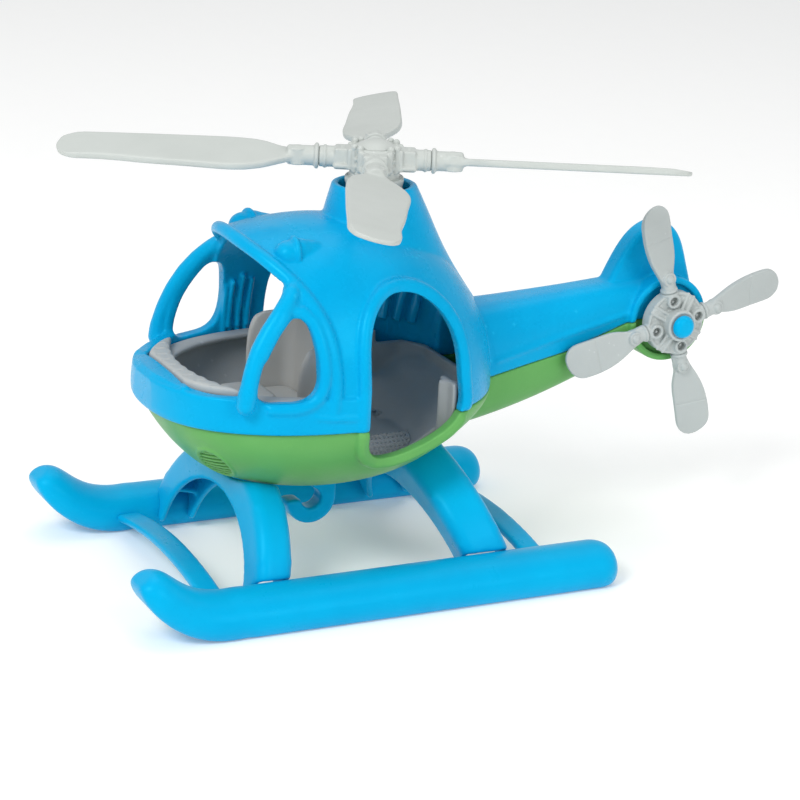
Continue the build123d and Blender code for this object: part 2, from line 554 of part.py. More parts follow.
axle_head = cylinder((TAIL_ROTOR_X + AXLE_HEAD_BASE, TAIL_Y, TAIL_Z), (1, 0, 0), 4.3, 2.8)
axle_head = fillet(axle_head.faces().sort_by(Axis.X)[-1].edges(), 2.4)
tail_axle = axle_shaft + axle_head

# ---------------------------------------------------------------- export
NODES = {
    "upper_shell": upper_shell,
    "lower_shell": lower_shell,
    "cabin_tub": cabin_tub,
    "seat_back": seat_back,
    "seat_cushion": seat_cushion,
    "instrument_panel": instrument_panel,
    "left_skid": left_skid,
    "right_skid": right_skid,
    "front_leg_arch": front_leg_arch,
    "rear_leg_arch": rear_leg_arch,
    "front_strap": front_strap,
    "rear_strap": rear_strap,
    "cargo_hook": cargo_hook,
    "tail_axle": tail_axle,
    "main_rotor_hub": main_rotor_hub,
    "main_rotor_cap": main_rotor_cap,
    "tail_rotor_hub": tail_rotor_hub,
}
for k in range(4):
    NODES[f"main_rotor_blade_{k + 1}"] = main_blades[k]
    NODES[f"tail_rotor_blade_{k + 1}"] = tail_blades[k]

os.makedirs("parts", exist_ok=True)
for name, shape in NODES.items():
    export_step(Pos(0, FRAME_SHIFT_Y, FRAME_SHIFT_Z) * shape, f"parts/{name}.step")
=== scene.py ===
import json
import math

import bpy
import numpy as np
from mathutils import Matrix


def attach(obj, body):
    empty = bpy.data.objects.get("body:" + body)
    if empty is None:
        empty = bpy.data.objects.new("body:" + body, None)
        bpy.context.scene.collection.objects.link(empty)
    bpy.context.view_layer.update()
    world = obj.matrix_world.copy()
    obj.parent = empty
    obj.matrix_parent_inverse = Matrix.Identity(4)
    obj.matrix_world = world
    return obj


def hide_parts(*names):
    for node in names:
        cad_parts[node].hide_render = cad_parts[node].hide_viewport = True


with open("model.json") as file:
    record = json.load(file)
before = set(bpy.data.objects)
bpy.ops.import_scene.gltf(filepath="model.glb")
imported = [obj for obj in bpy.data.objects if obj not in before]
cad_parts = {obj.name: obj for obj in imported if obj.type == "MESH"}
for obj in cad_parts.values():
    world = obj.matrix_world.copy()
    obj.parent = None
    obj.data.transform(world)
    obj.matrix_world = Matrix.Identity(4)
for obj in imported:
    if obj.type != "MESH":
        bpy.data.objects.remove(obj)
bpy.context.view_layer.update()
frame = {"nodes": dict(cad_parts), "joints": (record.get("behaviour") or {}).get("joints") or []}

import openvdb as vdb
from mathutils import Matrix, Vector

# Toy helicopter. Every looks piece but the floor treads is made from signed-distance samples of its CAD node.
# Samples are in millimetres, with x and y from the main rotor axis and z from 2 mm above the floor.

NODES = frame["nodes"]
JOINTS = {joint["name"]: joint for joint in frame["joints"]}
AXIS_Y = JOINTS["main_rotor_spin"]["pos_m"][1]
ROTOR_Z = JOINTS["main_rotor_spin"]["pos_m"][2] * 1000
TAIL_X, TAIL_Y, TAIL_Z = [1000 * v for v in JOINTS["tail_rotor_spin"]["pos_m"]]
TAIL_Y = TAIL_Y - 1000 * AXIS_Y
LIFT = ROTOR_Z - 143.6
ROTOR_PHASE = -115.4
TAIL_PHASE = -15.0
FLOOR_LEVEL = 45.5
TREAD_LIMIT = 46.4
BLADE_PITCH = -13.0
TAIL_PITCH = 12.0
F = np.float32


# ------------------------------------------------------------------ distance samples
def smooth_min(a, b, k):
    """Union of two distance fields with a fillet of about k millimetres."""
    if k <= 0:
        return np.minimum(a, b)
    h = np.clip(0.5 + 0.5 * (b - a) / k, 0, 1)
    return b + (a - b) * h - k * h * (1 - h)


def smooth_max(a, b, k):
    return -smooth_min(-a, -b, k)


class Sampled:
    """Signed distances round one CAD node on a regular lattice, step millimetres apart."""

    def __init__(self, node, step=0.5, band=8, pad=4.0):
        mesh = NODES[node].data
        mesh.calc_loop_triangles()
        points = np.zeros(len(mesh.vertices) * 3, F)
        mesh.vertices.foreach_get("co", points)
        points = points.reshape(-1, 3) * 1000
        points[:, 1] -= 1000 * AXIS_Y
        points[:, 2] -= LIFT
        corners = np.zeros(len(mesh.loop_triangles) * 3, np.int32)
        mesh.loop_triangles.foreach_get("vertices", corners)
        self.step = step
        self.band = band
        grid = vdb.FloatGrid.createLevelSetFromPolygons(
            points, triangles=corners.reshape(-1, 3).astype(np.uint32),
            transform=vdb.createLinearTransform(step), halfWidth=band)
        low, high = grid.evalActiveVoxelBoundingBox()
        extra = max(int(pad / step) - band, 1)
        self.low = tuple(v - extra for v in low)
        shape = tuple(h - v + 1 + 2 * extra for v, h in zip(low, high))
        self.d = np.full(shape, band * step, F)
        grid.copyToArray(self.d, ijk=self.low)
        self.axes = [(self.low[i] + np.arange(shape[i], dtype=F)) * F(step) for i in range(3)]

    def window(self, low, high):
        """Index ranges and coordinates of the samples between two corners."""
        ranges = []
        for i in range(3):
            first = int(np.searchsorted(self.axes[i], low[i]))
            last = int(np.searchsorted(self.axes[i], high[i]))
            ranges.append(slice(first, last))
        x = self.axes[0][ranges[0]].reshape(-1, 1, 1)
        y = self.axes[1][ranges[1]].reshape(1, -1, 1)
        z = self.axes[2][ranges[2]].reshape(1, 1, -1)
        return tuple(ranges), x, y, z

    def add(self, low, high, shape, k=0.5):
        part, x, y, z = self.window(low, high)
        if self.d[part].size:
            self.d[part] = smooth_min(self.d[part], shape(x, y, z).astype(F), k)

    def cut(self, low, high, shape, k=0.3):
        part, x, y, z = self.window(low, high)
        if self.d[part].size:
            self.d[part] = smooth_max(self.d[part], -shape(x, y, z).astype(F), k)

    def swell(self, low, high, region, amount, k=0.6):
        """Thickens the piece by amount where the region distance is negative."""
        part, x, y, z = self.window(low, high)
        if self.d[part].size:
            d = self.d[part]
            grown = smooth_max(d - F(amount), region(x, y, z).astype(F), k)
            self.d[part] = smooth_min(d, grown, k)

    def blurred(self, d, sigma):
        radius = max(int(math.ceil(2.2 * sigma / self.step)), 1)
        weights = np.exp(-0.5 * (np.arange(-radius, radius + 1) * self.step / sigma) ** 2)
        weights = (weights / weights.sum()).astype(F)
        for axis in range(3):
            out = np.zeros_like(d)
            n = d.shape[axis]
            for offset, weight in zip(range(-radius, radius + 1), weights):
                index = np.clip(np.arange(n) + offset, 0, n - 1)
                out += weight * np.take(d, index, axis=axis)
            d = out
        return d

    def soften(self, sigma):
        """Rounds every edge and corner by about sigma millimetres."""
        self.d = self.blurred(self.d, sigma)

    def fill_creases(self, low, high, sigma, lift=0.0):
        """Blends inside corners within a box with a wide concave radius; outside edges stay."""
        part, x, y, z = self.window(low, high)
        d = self.d[part]
        wide = self.blurred(d, sigma) + F(lift)
        fade = 1.0
        for axis, value in enumerate((x, y, z)):
            room = np.minimum(value - low[axis], high[axis] - value)
            fade = fade * np.clip(room / 4.0, 0, 1)
        self.d[part] = d + (np.minimum(d, wide) - d) * fade.astype(F)

    def close_gaps(self, low, high, reach):
        """Fills every groove narrower than twice reach within a box."""
        grid = vdb.FloatGrid(reach * 2)
        grid.copyFromArray(np.ascontiguousarray(self.d))
        points, quads = grid.convertToQuads(reach)
        points = (points + np.array(self.low, F)) * F(self.step)
        swollen = vdb.FloatGrid.createLevelSetFromPolygons(
            points.astype(F), quads=quads.astype(np.uint32), transform=vdb.createLinearTransform(self.step),
            halfWidth=self.band)
        closed = np.full(self.d.shape, self.band * self.step, F)
        swollen.copyToArray(closed, ijk=self.low)
        part, x, y, z = self.window(low, high)
        self.d[part] = np.minimum(self.d[part], closed[part] + F(reach))

    def mesh(self, name):
        grid = vdb.FloatGrid(self.step * 6)
        grid.copyFromArray(np.ascontiguousarray(self.d))
        points, quads = grid.convertToQuads(0.0)
        points = (points + np.array(self.low, F)) * F(self.step / 1000)
        points[:, 1] += F(AXIS_Y)
        points[:, 2] += F(LIFT / 1000)
        quads = quads.astype(np.int32)[:, ::-1]
        mesh = bpy.data.meshes.new(name)
        mesh.vertices.add(len(points))
        mesh.vertices.foreach_set("co", points.astype(F).ravel())
        mesh.loops.add(quads.size)
        mesh.loops.foreach_set("vertex_index", np.ascontiguousarray(quads).ravel())
        mesh.polygons.add(len(quads))
        mesh.polygons.foreach_set("loop_start", np.arange(0, quads.size, 4, dtype=np.int32))
        mesh.polygons.foreach_set("use_smooth", np.ones(len(quads), bool))
        mesh.update(calc_edges=True)
        if signed_volume(points, quads) < 0:
            mesh.flip_normals()
        piece = bpy.data.objects.new(name, mesh)
        bpy.context.scene.collection.objects.link(piece)
        return piece


def signed_volume(points, quads):
    a, b, c, d = (points[quads[:, i]] for i in range(4))
    return float((np.einsum("ij,ij->i", a, np.cross(b, c)) + np.einsum("ij,ij->i", a, np.cross(c, d))).sum())


# ------------------------------------------------------------------ distance shapes
def ball(centre, radius, stretch=(1, 1, 1)):
    def shape(x, y, z):
        u = [(v - c) / s for v, c, s in zip((x, y, z), centre, stretch)]
        return (np.sqrt(u[0] ** 2 + u[1] ** 2 + u[2] ** 2) - radius) * min(stretch)
    return shape


def rod(a, b, radius, radius_end=None):
    """Round-ended rod from a to b, tapering when radius_end is given."""
    a, b = np.array(a, float), np.array(b, float)
    span = b - a
    radius_end = radius if radius_end is None else radius_end

    def shape(x, y, z):
        t = ((x - a[0]) * span[0] + (y - a[1]) * span[1] + (z - a[2]) * span[2]) / (span @ span)
        t = np.clip(t, 0, 1)
        dx, dy, dz = x - a[0] - t * span[0], y - a[1] - t * span[1], z - a[2] - t * span[2]
        return np.sqrt(dx * dx + dy * dy + dz * dz) - (radius + (radius_end - radius) * t)
    return shape


def disc(centre, axis, radius, half, corner=0.3):
    """Short cylinder with rounded rims."""
    centre, axis = np.array(centre, float), np.array(axis, float)
    axis = axis / np.linalg.norm(axis)

    def shape(x, y, z):
        dx, dy, dz = x - centre[0], y - centre[1], z - centre[2]
        along = dx * axis[0] + dy * axis[1] + dz * axis[2]
        across = np.sqrt(np.maximum(dx * dx + dy * dy + dz * dz - along * along, 0))
        u, v = across - radius + corner, np.abs(along) - half + corner
        outside = np.sqrt(np.maximum(u, 0) ** 2 + np.maximum(v, 0) ** 2)
        return outside + np.minimum(np.maximum(u, v), 0) - corner
    return shape


def hoop(centre, axis, ring, radius):
    """Torus."""
    centre, axis = np.array(centre, float), np.array(axis, float)
    axis = axis / np.linalg.norm(axis)

    def shape(x, y, z):
        dx, dy, dz = x - centre[0], y - centre[1], z - centre[2]
        along = dx * axis[0] + dy * axis[1] + dz * axis[2]
        across = np.sqrt(np.maximum(dx * dx + dy * dy + dz * dz - along * along, 0))
        return np.sqrt((across - ring) ** 2 + along * along) - radius
    return shape


def block(centre, half, frame_axes=None, corner=0.3):
    """Box with rounded corners; frame_axes are its three unit directions."""
    axes = np.eye(3) if frame_axes is None else np.array(frame_axes, float)

    def shape(x, y, z):
        d = (x - centre[0], y - centre[1], z - centre[2])
        q = [np.abs(d[0] * a[0] + d[1] * a[1] + d[2] * a[2]) - h + corner for a, h in zip(axes, half)]
        outside = np.sqrt(sum(np.maximum(v, 0) ** 2 for v in q))
        return outside + np.minimum(np.maximum(np.maximum(q[0], q[1]), q[2]), 0) - corner
    return shape


def chain(points, radius):
    """Round bead along a polyline."""
    rods = [rod(a, b, radius) for a, b in zip(points, points[1:])]

    def shape(x, y, z):
        return np.minimum.reduce([np.broadcast_arrays(r(x, y, z))[0] for r in rods])
    return shape


def around(centre, reach):
    if np.isscalar(reach):
        reach = (reach, reach, reach)
    return [c - r for c, r in zip(centre, reach)], [c + r for c, r in zip(centre, reach)]


# ------------------------------------------------------------------ moulded plastic
def link(tree, a, b):
    tree.links.new(a, b)


def noise(tree, vector, scale, detail=3.0, rough=0.5):
    node = tree.nodes.new("ShaderNodeTexNoise")
    node.inputs["Scale"].default_value = scale
    node.inputs["Detail"].default_value = detail
    node.inputs["Roughness"].default_value = rough
    link(tree, vector, node.inputs["Vector"])
    return node.outputs["Fac"]


def ramp(tree, value, low, high, out_low, out_high):
    node = tree.nodes.new("ShaderNodeMapRange")
    node.inputs["From Min"].default_value = low
    node.inputs["From Max"].default_value = high
    node.inputs["To Min"].default_value = out_low
    node.inputs["To Max"].default_value = out_high
    link(tree, value, node.inputs["Value"])
    return node.outputs["Result"]


def blend_colour(tree, factor, a, b):
    node = tree.nodes.new("ShaderNodeMix")
    node.data_type = "RGBA"
    link(tree, factor, node.inputs[0])
    for socket, value in ((node.inputs[6], a), (node.inputs[7], b)):
        if isinstance(value, tuple):
            socket.default_value = (*value, 1)
        else:
            link(tree, value, socket)
    return node.outputs[2]


def plastic(name, colour, shade, edge, rough=0.33, grain=0.05, tint=(1, 1, 1)):
    """Moulded plastic: spark-grain skin with pale flecks painted in as its glints, slow colour drift, paler
    convex edges painted in as highlights, uneven gloss.
    """
    material = bpy.data.materials.new(name)
    material.use_nodes = True
    tree = material.node_tree
    tree.nodes.clear()
    out = tree.nodes.new("ShaderNodeOutputMaterial")
    shader = tree.nodes.new("ShaderNodeBsdfPrincipled")
    link(tree, shader.outputs["BSDF"], out.inputs["Surface"])
    place = tree.nodes.new("ShaderNodeTexCoord").outputs["Object"]
    drift = noise(tree, place, 38.0, 3.0, 0.55)
    mixed = blend_colour(tree, ramp(tree, drift, 0.35, 0.68, 0.0, 1.0), colour, shade)
    # Pale flecks in the edge colour: painted glints of the spark grain.
    glint_flecks = noise(tree, place, 900.0, 2.0, 0.6)
    mixed = blend_colour(tree, ramp(tree, glint_flecks, 0.66, 0.80, 0.0, 0.22), mixed, edge)
    # Paler convex edges from pointiness: painted edge highlights.
    pointed = tree.nodes.new("ShaderNodeNewGeometry").outputs["Pointiness"]
    edge_highlight = ramp(tree, pointed, 0.53, 0.60, 0.0, 0.45)
    mixed = blend_colour(tree, edge_highlight, mixed, edge)
    link(tree, mixed, shader.inputs["Base Color"])
    patch = noise(tree, place, 85.0, 4.0, 0.6)
    link(tree, ramp(tree, patch, 0.3, 0.7, rough - 0.05, rough + 0.07), shader.inputs["Roughness"])
    shader.inputs["IOR"].default_value = 1.48
    shader.inputs["Specular IOR Level"].default_value = 0.32
    shader.inputs["Specular Tint"].default_value = (*tint, 1)
    fine = noise(tree, place, 2600.0, 3.0, 0.65)
    wave = noise(tree, place, 130.0, 2.0, 0.5)
    grainy = tree.nodes.new("ShaderNodeBump")
    grainy.inputs["Strength"].default_value = 1.0
    grainy.inputs["Distance"].default_value = grain / 1000
    link(tree, fine, grainy.inputs["Height"])
    wavy = tree.nodes.new("ShaderNodeBump")
    wavy.inputs["Strength"].default_value = 1.0
    wavy.inputs["Distance"].default_value = 0.10 / 1000
    link(tree, wave, wavy.inputs["Height"])
    link(tree, grainy.outputs["Normal"], wavy.inputs["Normal"])
    link(tree, wavy.outputs["Normal"], shader.inputs["Normal"])
    return material


# The fourth colour of each material is the pale tone of its painted edge highlights and glint flecks.
BLUE = plastic("blue_moulding", (0.001, 0.370, 0.680), (0.001, 0.335, 0.640), (0.02, 0.50, 0.80), 0.27,
               tint=(0.10, 0.80, 1.0))
GEAR_BLUE = plastic("gear_blue_moulding", (0.001, 0.395, 0.710), (0.001, 0.358, 0.665),
                    (0.02, 0.51, 0.83), 0.31, tint=(0.10, 0.80, 1.0))
GREEN = plastic("green_moulding", (0.125, 0.385, 0.100), (0.105, 0.350, 0.085), (0.24, 0.52, 0.20), 0.36,
                tint=(0.85, 1.0, 0.80))
# Tub and seat greys are lighter than the plastic's own grey: painted light, standing in for the light the
# cabin interior lacks.
DARK = plastic("tub_moulding", (0.370, 0.392, 0.402), (0.335, 0.355, 0.365), (0.50, 0.52, 0.53), 0.46, 0.07)
SEAT = plastic("seat_moulding", (0.460, 0.460, 0.440), (0.425, 0.426, 0.408), (0.62, 0.62, 0.60), 0.44, 0.07)
PANEL = plastic("panel_moulding", (0.450, 0.470, 0.465), (0.420, 0.440, 0.435),
                (0.60, 0.62, 0.61), 0.42, 0.06)
PALE = plastic("rotor_moulding", (0.500, 0.530, 0.505), (0.470, 0.500, 0.475), (0.64, 0.66, 0.64), 0.38)
TAIL = plastic("tail_rotor_moulding", (0.440, 0.478, 0.470), (0.415, 0.450, 0.444), (0.58, 0.61, 0.60), 0.36)


def finish_piece(sampled, name, body, nodes, material):
    piece = sampled.mesh(name)
    piece.data.materials.append(material)
    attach(piece, body)
    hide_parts(*nodes)
    return piece


# ------------------------------------------------------------------ outlines seen from the side: (y, z)
WINDOW_OUTLINE = [
    (-58.6, 75.5), (-57.9, 80.5), (-56.3, 86.0), (-53.0, 92.4), (-49.3, 97.5), (-46.0, 100.3),
    (-43.0, 100.2), (-40.8, 97.9), (-39.3, 92.6), (-38.4, 85.7), (-38.8, 79.8), (-40.6, 75.6),
    (-44.5, 73.2), (-51.0, 72.6), (-56.5, 73.0),
]
DOOR_OUTLINE = [
    (-20.6, 60.0), (-20.6, 72.0), (-20.4, 85.0), (-19.3, 93.9), (-17.0, 99.4), (-13.7, 103.2), (-9.7, 105.4),
    (-4.6, 105.8), (0.9, 104.5), (5.7, 101.7), (10.2, 97.2), (13.3, 91.9), (14.9, 86.7),
    (15.6, 80.5), (16.0, 74.0), (16.6, 66.0), (13.0, 60.2), (6.0, 55.8), (-2.0, 52.4),
    (-10.0, 50.2), (-16.0, 50.6), (-19.6, 54.0),
]
# centre line of the round strut in front of each side window, from the nose rim up into the roof arch
STRUT_LINE = [
    (41.0, -63.2, 72.5), (41.1, -62.2, 79.2), (40.4, -61.0, 83.5), (39.2, -58.2, 90.6), (38.3, -54.4, 96.8),
    (37.0, -50.1, 101.8), (34.9, -46.4, 105.6), (32.4, -44.4, 108.0),
]


def loop_points(outline, grow, spacing=2.0):
    """Smooth closed curve through the outline, pushed outwards by grow."""
    points = np.array(outline, float)
    count = len(points)
    curve = []
    for i in range(count):
        p0, p1, p2, p3 = (points[(i + j - 1) % count] for j in range(4))
        pieces = max(int(np.linalg.norm(p2 - p1) / spacing), 1)
        for t in np.arange(pieces) / pieces:
            curve.append(0.5 * (2 * p1 + (p2 - p0) * t + (2 * p0 - 5 * p1 + 4 * p2 - p3) * t * t
                                + (3 * p1 - 3 * p2 + p3 - p0) * t ** 3))
    curve = np.array(curve)
    along = np.roll(curve, -1, 0) - np.roll(curve, 1, 0)
    normal = np.stack([-along[:, 1], along[:, 0]], 1) / np.linalg.norm(along, axis=1)[:, None]
    if ((curve - curve.mean(0)) * normal).sum() < 0:
        normal = -normal
    return curve + normal * grow


def skin_x(sampled, y, z):
    """Outermost x of the skin at the side position (y, z)."""
    j = int(round((y - sampled.axes[1][0]) / sampled.step))
    k = int(round((z - sampled.axes[2][0]) / sampled.step))
    column = sampled.d[:, j, k]
    inside = np.nonzero(column < 0)[0]
    i = inside[-1]
    part = column[i] / (column[i] - column[i + 1])
    return float(sampled.axes[0][i] + part * sampled.step)


def open_line(line):
    """The same loop of points, started after its widest gap, which stays open."""
    gaps = [math.dist(p, q) for p, q in zip(line, line[1:] + line[:1])]
    start = int(np.argmax(gaps)) + 1
    return line[start:] + line[:start]


def both_sides(sampled, points, radius, k=0.8):
    """Adds a round bead along the points, on the left side and mirrored on the right."""
    for side in (-1, 1):
        line = [(side * p[0], p[1], p[2]) for p in points]
        low = np.min(line, 0) - radius - 3
        high = np.max(line, 0) + radius + 3
        sampled.add(low, high, chain(line, radius), k)


# ------------------------------------------------------------------ upper shell
upper = Sampled("upper_shell", 0.5, 9)
upper.fill_creases((-40, -32, 96), (40, 46, 130), 3.4, 0.2)
upper.fill_creases((-30, 26, 60), (30, 60, 112), 3.4, 0.2)
upper.fill_creases((-16, 80, 78), (16, 112, 108), 3.0, 0.2)
upper.fill_creases((-40, -58, 98), (40, -30, 127), 2.2, 0.1)
window_loop = [(y, z) for y, z in loop_points(WINDOW_OUTLINE, 2.1) if y > -57.5]
window_line = [(skin_x(upper, y, z) - 1.0, y, z) for y, z in open_line(window_loop)]
both_sides(upper, window_line, 2.1, 1.0)
both_sides(upper, STRUT_LINE, 2.65, 1.6)
door_line = open_line([(y, z) for y, z in loop_points(DOOR_OUTLINE, 2.4) if z > 63.0])
both_sides(upper, [(skin_x(upper, y, z) - 1.1, y, z) for y, z in door_line], 2.1, 0.9)
# ledge below the pillar, foot of each strut, tabs inside the nose rim
both_sides(upper, [(46.6, -39.6, 67.8), (48.2, -33.0, 67.2), (48.6, -24.9, 66.8)], 0.95, 1.2)
both_sides(upper, [(41.0, -63.4, 72.4), (41.3, -62.8, 76.0)], 2.3, 2.6)
for side in (-1, 1):
    tab = block((side * 20.0, -77.2, 74.0), (2.6, 1.5, 0.8), None, 0.5)
    upper.add(*around((side * 20.0, -77.0, 74), 7), tab, 0.5)
# flange along the lower edge of the boom
for side in (-1, 1):
    line = []
    for y in np.arange(45.0, 103.0, 4.0):
        z = 70.5 + 0.20 * (y - 45.0)
        line.append((side * (skin_x(upper, y, z) - 0.35), y, z))
    upper.add(np.min(line, 0) - 4, np.max(line, 0) + 4, chain(line, 0.95), 1.0)
upper.fill_creases((-44, -56, 96), (44, -38, 112), 1.6, 0.1)
upper.soften(0.45)
# lamps on the roof: a domed glass behind a raised band, in a teardrop fairing
for side in (-1, 1):
    glass = ball((19.9 * side, -40.2, 117.2), 4.9, (1.0, 1.1, 1.0))
    band = hoop((19.7 * side, -38.2, 117.6), (0.1 * side, 1, 0), 4.9, 1.05)
    upper.add(*around((19.8 * side, -40, 118), 10), glass, 0.3)
    upper.add(*around((19.4 * side, -36, 118), 9), band, 0.2)
    upper.add(*around((19.4 * side, -31, 118), 12),
              rod((19.4 * side, -36.6, 117.6), (19.8 * side, -23.5, 117.4), 4.4, 0.8), 0.8)
    ribs = [((43.5, -37.0, 72.0), (39.8, -37.4, 90.0)), ((44.2, -34.3, 71.4), (40.4, -35.2, 89.9)),
            ((44.4, -31.1, 70.8), (40.5, -33.8, 89.9)), ((44.6, -28.0, 71.4), (41.6, -30.8, 87.4)),
            ((34.6, 25.8, 67.2), (33.7, 24.1, 81.4)), ((32.3, 28.8, 67.6), (30.3, 27.0, 83.6)),
            ((29.1, 32.0, 68.3), (27.3, 29.7, 84.2))]
    for foot, head in ribs:
        foot = (side * foot[0], foot[1], foot[2])
        head = (side * head[0], head[1], head[2])
        upper.add(np.minimum(foot, head) - 3, np.maximum(foot, head) + 3, rod(foot, head, 1.15, 0.8), 0.5)
finish_piece(upper, "upper_moulding", "airframe", ["upper_shell"], BLUE)

# ------------------------------------------------------------------ lower shell
lower = Sampled("lower_shell", 0.42, 10)
for side in (-1, 1):
    lower.close_gaps(*around((23.0 * side, -66.0, 47.5), 15), 1.3)
sill = open_line([(y, z) for y, z in loop_points(DOOR_OUTLINE, 2.4) if z < 61.0])
both_sides(lower, [(skin_x(lower, y, z) - 1.1, y, z) for y, z in sill], 2.1, 0.9)
lower.soften(0.4)
VENT_CENTRE = np.array((20.9, -65.1, 45.6))
VENT_OUT = np.array((0.340, -0.593, -0.730))
VENT_LONG = np.array((-0.50, 0.53, -0.69))
VENT_LONG = VENT_LONG - VENT_OUT * (VENT_LONG @ VENT_OUT)
VENT_LONG = VENT_LONG / np.linalg.norm(VENT_LONG)
VENT_SIDE = np.cross(VENT_OUT, VENT_LONG)


def vent(side):
    """Oval recess with slanted slats and a thin raised rim, on one side of the bow."""
    mirror = np.array((side, 1, 1))
    centre, out, along, across = (v * mirror for v in (VENT_CENTRE, VENT_OUT, VENT_LONG, VENT_SIDE))

    def local(x, y, z):
        d = (x - centre[0], y - centre[1], z - centre[2])
        return [d[0] * a[0] + d[1] * a[1] + d[2] * a[2] for a in (along, across, out)]

    def oval(u, v, grow=0.0):
        return (np.sqrt((u / (8.6 + grow)) ** 2 + (v / (5.6 + grow)) ** 2) - 1) * 5.6

    def recess(x, y, z):
        u, v, w = local(x, y, z)
        slant = u + 0.35 * v
        slat = np.abs((slant / 2.4 + 0.5) % 1 - 0.5) * 2.4 - 0.55
        open_part = np.maximum(oval(u, v), -slat)
        return np.maximum(open_part, np.abs(w + 0.3) - 2.3)

    def rim(x, y, z):
        u, v, w = local(x, y, z)
        return np.abs(oval(u, v, 0.9)) - 0.55

    box = around(centre, 13)
    lower.swell(*box, rim, 0.45, 0.3)
    part, x, y, z = lower.window(*box)
    depth = lower.d[part]
    lower.d[part] = smooth_max(depth, np.minimum(-recess(x, y, z), depth + 1.5).astype(F), 0.25)


vent(-1)
vent(1)
finish_piece(lower, "lower_moulding", "airframe", ["lower_shell"], GREEN)

# ------------------------------------------------------------------ cabin
tub = Sampled("cabin_tub", 0.5, 8)
for low_x in (10, -36):
    part, x, y, z = tub.window((low_x, -12, 45.6), (low_x + 26, 5.5, 47.2))
    tub.d[part] = np.maximum(tub.d[part], z - FLOOR_LEVEL)
tub.fill_creases((-46, -80, 42), (46, 40, 60), 1.8, 0.1)


def floor_height(sampled, x, y, ceiling=58.0):
    """Height of the top of the solid under each point, below the ceiling, or nan where there is none."""
    ix, iy = [np.clip(np.rint((v - a[0]) / sampled.step).astype(int), 0, len(a) - 1)
              for v, a in ((x, sampled.axes[0]), (y, sampled.axes[1]))]
    level = sampled.axes[2]
    column = sampled.d[ix, iy, :]
    column = np.where(level < ceiling, column, 9.0)
    solid = column < 0
    last = solid.shape[-1] - 2 - np.argmax(solid[..., -2::-1], axis=-1)
    inner = np.take_along_axis(column, last[..., None], -1)[..., 0]
    outer = np.take_along_axis(column, last[..., None] + 1, -1)[..., 0]
    height = level[last] + sampled.step * inner / np.minimum(inner - outer, -1e-4)
    return np.where(solid.any(-1), height, np.nan)


for slot_y in (10.4, 24.0):
    behind = float(floor_height(tub, np.array([-13.0]), np.array([slot_y + 3.0]))[0])
    ahead = float(floor_height(tub, np.array([-13.0]), np.array([slot_y - 3.0]))[0])
    slope = math.atan2(behind - ahead, 6.0)
    level = (behind + ahead) / 2 - 2.0
    lie = ((1, 0, 0), (0, math.cos(slope), math.sin(slope)), (0, -math.sin(slope), math.cos(slope)))
    tub.add(*around((-13, slot_y, level), 12), block((-13, slot_y, level), (9.0, 2.6, 0.6), lie), 0.1)


def jamb_panel(side):
    """Upright panel of the tub beside the rear edge of a doorway, narrower towards the floor."""
    turned = ((0.87, 0.49 * side, 0), (-0.49 * side, 0.87, 0), (0, 0, 1))
    plate = block((33.6 * side, 16.4, 61.6), (4.2, 1.5, 9.9), turned, 0.9)

    def shape(x, y, z):
        return np.maximum(plate(x, y, z), x * side - 32.2 - 0.34 * (z - 52.0))
    return shape


for side in (-1, 1):
    tub.add(*around((34 * side, 16.2, 61), 12), jamb_panel(side), 0.5)
tub.soften(0.5)
finish_piece(tub, "tub_moulding", "airframe", ["cabin_tub"], DARK)


def tread_mat(side):
    """Woven tread on the floor inside a doorway, one rounded bump for each strand crossing."""
    step, pitch = 0.28, 2.3
    xs = np.arange(9.5, 34.5, step)
    ys = np.arange(-10.5, 17.0, step)
    gx, gy = np.meshgrid(xs, ys, indexing="ij")
    row = np.floor(gx / pitch)
    lean = np.where(row % 2 == 0, 0.55, -0.55)
    u = gx / pitch % 1 - 0.5
    v = (gy / (pitch * 0.72) + lean * u * 1.6) % 1 - 0.5
    bump = np.clip(1 - (u * 2.15) ** 2, 0, 1) * np.clip(1 - (v * 2.5) ** 2, 0, 1)
    edge = np.minimum.reduce([gx - xs[0], xs[-1] - gx, gy - ys[0], ys[-1] - gy])
    ground = floor_height(tub, side * gx, gy, 54.0)
    gz = ground - 0.12 + 0.95 * np.sqrt(bump) * np.clip(edge / 1.2, 0, 1)
    floored = np.isfinite(ground) & (ground < TREAD_LIMIT)
    ground = np.where(floored, ground, 90.0)
    steep = np.hypot(*np.gradient(ground, step)) > 0.9
    floored = floored & ~steep
    gz = np.where(floored, gz, FLOOR_LEVEL - 0.5)
    points = np.stack([side * gx, gy, gz], -1).reshape(-1, 3)
    n, m = gx.shape
    index = np.arange(n * m).reshape(n, m)
    quads = np.stack([index[:-1, :-1], index[1:, :-1], index[1:, 1:], index[:-1, 1:]], -1).reshape(-1, 4)
    quads = quads[floored.ravel()[quads].all(axis=1)]
    used, quads = np.unique(quads, return_inverse=True)
    points = points[used]
    quads = quads.reshape(-1, 4)
    if side < 0:
        quads = quads[:, ::-1]
    points = points / 1000 + np.array((0, AXIS_Y, LIFT / 1000))
    mesh = bpy.data.meshes.new("tread")
    mesh.from_pydata(points.tolist(), [], quads.tolist())
    mesh.polygons.foreach_set("use_smooth", np.ones(len(quads), bool))
    mesh.materials.append(DARK)
    piece = bpy.data.objects.new("tread_left" if side > 0 else "tread_right", mesh)
    bpy.context.scene.collection.objects.link(piece)
    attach(piece, "airframe")
    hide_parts("cabin_tub")


tread_mat(1)
tread_mat(-1)

back = Sampled("seat_back", 0.5, 6)
back.soften(0.9)
finish_piece(back, "seat_shell", "airframe", ["seat_back"], SEAT)
cushion = Sampled("seat_cushion", 0.5, 6)
cushion.soften(1.0)
finish_piece(cushion, "seat_pad", "airframe", ["seat_cushion"], SEAT)

